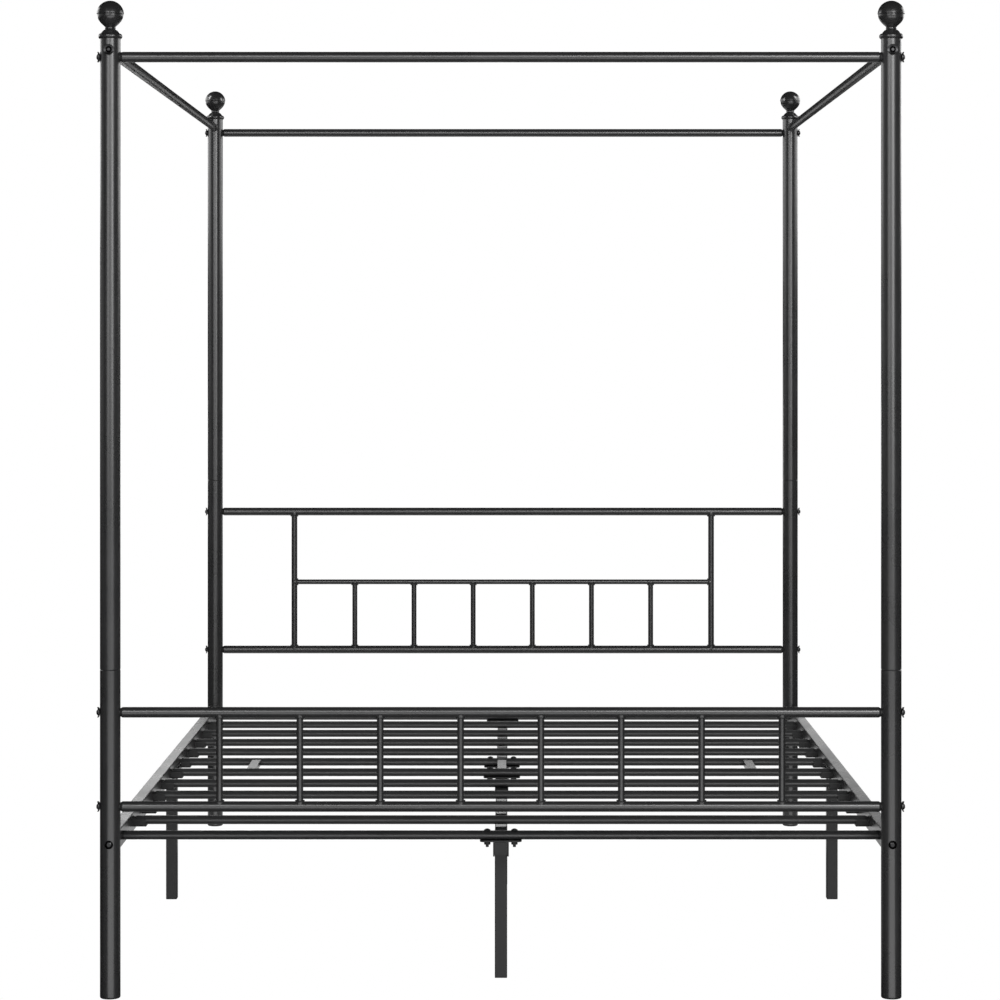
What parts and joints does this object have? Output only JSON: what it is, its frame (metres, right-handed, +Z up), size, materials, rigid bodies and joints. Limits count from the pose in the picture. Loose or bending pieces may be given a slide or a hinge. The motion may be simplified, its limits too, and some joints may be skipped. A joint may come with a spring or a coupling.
{
  "type": "four poster canopy bed",
  "caption": "Metal canopy bed frame with round tube posts, ball finials, an open top of rails, spindled head and foot boards, oval slats and a centre rail on legs.",
  "frame": {"origin": "on the floor, at the middle of the bed's outline", "axes": "+X across the bed to the right as seen from the foot end, +Y towards the head end, +Z up"},
  "size_m": [1.5838, 2.1238, 1.953],
  "materials": {
    "powder_coat": "black satin powder coat on steel tube",
    "bare_steel": "bare drawn steel",
    "black_plastic": "black moulded plastic",
    "finial_plastic": "black satin moulded plastic",
    "black_bolt": "black oxide on steel"
  },
  "bodies": {
    "root": {"post_lower_foot_left": "powder_coat", "post_upper_foot_left": "powder_coat", "canopy_side_rail_left_foot": "powder_coat", "side_rail_left_foot": "powder_coat", "post_lower_foot_right": "powder_coat", "post_upper_foot_right": "powder_coat", "canopy_side_rail_right_foot": "powder_coat", "side_rail_right_foot": "powder_coat", "post_lower_head_left": "powder_coat", "post_upper_head_left": "powder_coat", "canopy_side_rail_left_head": "powder_coat", "side_rail_left_head": "powder_coat", "post_lower_head_right": "powder_coat", "post_upper_head_right": "powder_coat", "canopy_side_rail_right_head": "powder_coat", "side_rail_right_head": "powder_coat", "slat_01": "powder_coat", "slat_02": "powder_coat", "slat_03": "powder_coat", "slat_04": "powder_coat", "slat_05": "powder_coat", "slat_06": "powder_coat", "slat_07": "powder_coat", "slat_08": "powder_coat", "slat_09": "powder_coat", "slat_10": "powder_coat", "slat_11": "powder_coat", "slat_12": "powder_coat", "footboard_top_rail": "powder_coat", "footboard_bottom_rail": "powder_coat", "footboard_spindles": "powder_coat", "headboard_top_rail": "powder_coat", "headboard_mid_rail": "powder_coat", "headboard_bottom_rail": "powder_coat", "headboard_uprights": "powder_coat", "headboard_spindles": "powder_coat", "canopy_foot_rail": "powder_coat", "canopy_head_rail": "powder_coat", "joint_angles": "powder_coat", "slat_spacers": "powder_coat", "centre_rail_foot": "powder_coat", "centre_rail_head": "powder_coat", "centre_rail_plates": "powder_coat", "centre_leg_brackets": "powder_coat", "centre_legs": "powder_coat", "side_legs": "powder_coat", "rail_end_plugs": "powder_coat", "post_sleeves": "bare_steel", "canopy_joint_sleeves": "bare_steel", "post_feet": "black_plastic", "leg_feet": "black_plastic", "slat_cradles": "black_plastic", "square_rail_plugs": "black_plastic", "finials": "finial_plastic", "rail_bolts": "black_bolt", "rail_washers": "black_bolt", "side_rail_bolts": "black_bolt", "joint_bolts": "black_bolt", "slat_bolts": "black_bolt", "slat_nuts": "black_bolt"}
  },
  "joints": []
}
